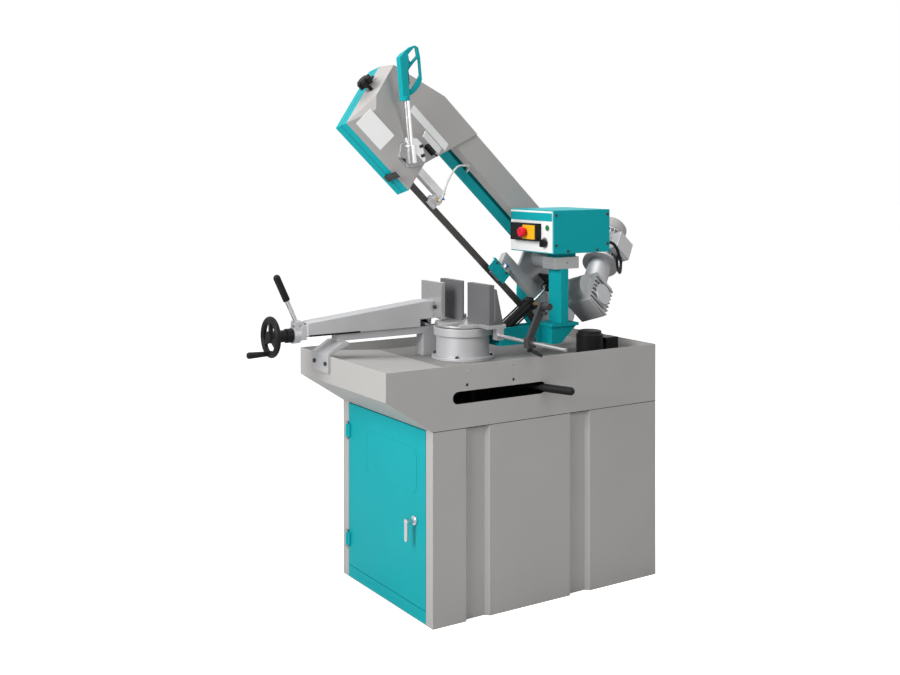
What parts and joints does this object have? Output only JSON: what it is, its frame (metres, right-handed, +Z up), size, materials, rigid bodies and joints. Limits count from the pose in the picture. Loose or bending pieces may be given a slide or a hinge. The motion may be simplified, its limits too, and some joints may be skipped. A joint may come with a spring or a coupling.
{
  "type": "mitre band saw",
  "caption": "Swing-head mitre band saw for metal on a sheet-steel cabinet, with a hinged bow, swivelling arm, quick vice, bar stop and coolant tray.",
  "frame": {"origin": "on the floor under the middle of the cabinet", "axes": "+Z up, +X from the door end to the drive end, +Y away from the operator's long side"},
  "size_m": [1.6672, 0.894, 2.038],
  "materials": {
    "grey_paint": "warm grey textured paint",
    "teal_paint": "teal gloss paint",
    "cast_alu": "sand-cast, unpainted",
    "machined_steel": "turned and ground",
    "dark_steel": "blackened",
    "zinc": "zinc plated",
    "black_plastic": "moulded",
    "white_panel": "printed overlay left bare",
    "red_plastic": "moulded",
    "green_plastic": "moulded",
    "blade_steel": "hardened, oiled",
    "hose": "clear grey hose",
    "cable": "black sheath"
  },
  "bodies": {
    "stand": {"cabinet": "grey_paint", "plinth": "teal_paint", "tray": "grey_paint", "turret": "cast_alu", "table_plate": "cast_alu", "fixed_jaws": "dark_steel", "vice_rail": "cast_alu", "coolant_pump": "black_plastic", "stop_rod": "zinc", "stand_screws": "dark_steel"},
    "door": {"door": "teal_paint"},
    "door_handle": {"door_handle": "zinc"},
    "mitre_lever": {"mitre_lever": "black_plastic"},
    "vice": {"vice_casting": "cast_alu", "jaw_plate": "machined_steel"},
    "spindle": {"vice_spindle": "zinc", "handwheel": "black_plastic"},
    "crank": {"crank_grip": "black_plastic"},
    "quick_lever": {"vice_lever": "zinc"},
    "stop": {"stop_arm": "dark_steel"},
    "stop_clamp": {"stop_lever": "black_plastic"},
    "arm": {"swivel_arm": "teal_paint", "column": "teal_paint", "hinge_block": "cast_alu", "head_shaft": "machined_steel", "control_box": "teal_paint", "control_panel": "white_panel", "switch_block": "black_plastic"},
    "stop_switch": {"stop_button": "red_plastic"},
    "start_switch": {"start_button": "green_plastic"},
    "speed_switch": {"speed_knob": "black_plastic"},
    "barrel": {"cylinder_barrel": "black_plastic"},
    "rod": {"cylinder_rod": "zinc"},
    "head": {"bow_beam": "grey_paint", "wheel_housing": "grey_paint", "idler_cover": "teal_paint", "return_guard": "teal_paint", "drive_housing": "grey_paint", "drive_cover": "teal_paint", "gearbox": "cast_alu", "motor": "cast_alu", "fan_cover": "cast_alu", "terminal_box": "cast_alu", "rod_clevis": "black_plastic", "handle_post": "zinc", "handle_grip": "teal_paint", "fixed_guide": "machined_steel", "blade": "blade_steel", "coolant_hose": "hose", "motor_cable": "cable"},
    "trigger": {"trigger": "black_plastic"},
    "upper_latch": {"latch_upper": "dark_steel"},
    "lower_latch": {"latch_lower": "dark_steel"},
    "tension": {"tension_slide": "dark_steel"},
    "tension_screw": {"tension_knob": "black_plastic"},
    "idler": {"idler_wheel": "cast_alu"},
    "drive": {"drive_wheel": "cast_alu"},
    "worm": {"worm_shaft": "machined_steel"},
    "guide": {"guide_arm": "machined_steel", "guide_block": "dark_steel"}
  },
  "joints": [
    {"name": "door_swing", "type": "hinge", "parent": "stand", "child": "door", "pos_m": [-0.518, 0.289, 0.36], "axis": [0, 0, -1], "range_deg": [0, 110]},
    {"name": "door_handle_turn", "type": "hinge", "parent": "door", "child": "door_handle", "pos_m": [-0.511, -0.215, 0.347], "axis": [1, 0, 0], "range_deg": [0, 90]},
    {"name": "mitre_lever_swing", "type": "hinge", "parent": "stand", "child": "mitre_lever", "pos_m": [-0.17, 0, 0.786], "axis": [0, 0, 1], "range_deg": [-55, 0]},
    {"name": "vice_slide", "type": "slide", "parent": "stand", "child": "vice", "axis": [1, 0, 0], "range_m": [-0.1, 0.05]},
    {"name": "spindle_turn", "type": "hinge", "parent": "vice", "child": "spindle", "pos_m": [-0.905, 0.138, 0.979], "axis": [1, 0, 0], "continuous": true},
    {"name": "crank_spin", "type": "hinge", "parent": "spindle", "child": "crank", "pos_m": [-0.905, 0.138, 0.92], "axis": [1, 0, 0], "continuous": true},
    {"name": "quick_lever_swing", "type": "hinge", "parent": "vice", "child": "quick_lever", "pos_m": [-0.8, 0.138, 1.016], "axis": [0, -1, 0], "range_deg": [0, 25]},
    {"name": "stop_travel", "type": "slide", "parent": "stand", "child": "stop", "axis": [0, 1, 0], "range_m": [-0.17, 0.13]},
    {"name": "stop_clamp_turn", "type": "hinge", "parent": "stop", "child": "stop_clamp", "pos_m": [-0.11, -0.351, 0.93], "axis": [0, 0, 1], "range_deg": [0, 120]},
    {"name": "mitre_swivel", "type": "hinge", "parent": "stand", "child": "arm", "pos_m": [-0.17, 0, 0.967], "axis": [0, 0, 1], "range_deg": [0, 45]},
    {"name": "stop_press", "type": "slide", "parent": "arm", "child": "stop_switch", "axis": [1, 0, 0], "range_m": [0, 0.006], "stiffness_N_per_m": 800},
    {"name": "start_press", "type": "slide", "parent": "arm", "child": "start_switch", "axis": [1, 0, 0], "range_m": [0, 0.004], "stiffness_N_per_m": 500},
    {"name": "speed_turn", "type": "hinge", "parent": "arm", "child": "speed_switch", "pos_m": [0.069, -0.204, 1.302], "axis": [1, 0, 0], "range_deg": [-90, 90]},
    {"name": "head_lower", "type": "hinge", "parent": "arm", "child": "head", "pos_m": [0.225, 0, 1.218], "axis": [0, -1, 0], "range_deg": [0, 43.5], "deforming": ["motor_cable"]},
    {"name": "cylinder_swing", "type": "hinge", "parent": "arm", "child": "barrel", "pos_m": [-0.04, -0.062, 0.955], "axis": [0, -1, 0], "range_deg": [-20, 5]},
    {"name": "rod_stroke", "type": "slide", "parent": "barrel", "child": "rod", "axis": [0.816, 0, 0.5781], "range_m": [-0.005, 0.09]},
    {"name": "trigger_press", "type": "slide", "parent": "head", "child": "trigger", "axis": [-0.9954, 0, -0.0958], "range_m": [0, 0.006], "stiffness_N_per_m": 400},
    {"name": "upper_latch_swing", "type": "hinge", "parent": "head", "child": "upper_latch", "pos_m": [-0.55517, 0.09007, 1.90236], "axis": [-0.6288, -0.4067, -0.6627], "range_deg": [0, 90]},
    {"name": "lower_latch_swing", "type": "hinge", "parent": "head", "child": "lower_latch", "pos_m": [-0.50894, -0.00999, 1.54867], "axis": [0.7254, 0, -0.6884], "range_deg": [0, 90]},
    {"name": "tension_travel", "type": "slide", "parent": "head", "child": "tension", "axis": [0.7254, 0, -0.6884], "range_m": [0, 0.01]},
    {"name": "tension_turn", "type": "hinge", "parent": "head", "child": "tension_screw", "pos_m": [-0.57691, 0.01675, 1.89253], "axis": [0.7254, 0, -0.6884], "continuous": true},
    {"name": "idler_spin", "type": "hinge", "parent": "tension", "child": "idler", "pos_m": [-0.45721, 0.05694, 1.75427], "axis": [0.28, -0.9135, 0.295], "continuous": true},
    {"name": "drive_spin", "type": "hinge", "parent": "head", "child": "drive", "pos_m": [0.27832, 0.05694, 1.05628], "axis": [0.28, -0.9135, 0.295], "continuous": true},
    {"name": "worm_spin", "type": "hinge", "parent": "head", "child": "worm", "pos_m": [0.37084, -0.10293, 1.06661], "axis": [0.6288, 0.4067, 0.6627], "continuous": true},
    {"name": "guide_travel", "type": "slide", "parent": "head", "child": "guide", "axis": [0.7254, 0, -0.6884], "range_m": [-0.045, 0.06], "deforming": ["coolant_hose"]}
  ],
  "couplings": [
    {"joint": "spindle_turn", "follows": "vice_slide", "rad_per_m": 628.32},
    {"joint": "cylinder_swing", "follows": "head_lower", "ratio": -0.215},
    {"joint": "rod_stroke", "follows": "head_lower", "m_per_rad": 0.089},
    {"joint": "idler_spin", "follows": "drive_spin", "ratio": 1},
    {"joint": "worm_spin", "follows": "drive_spin", "ratio": 30},
    {"joint": "tension_turn", "follows": "tension_travel", "rad_per_m": 2094.4}
  ]
}
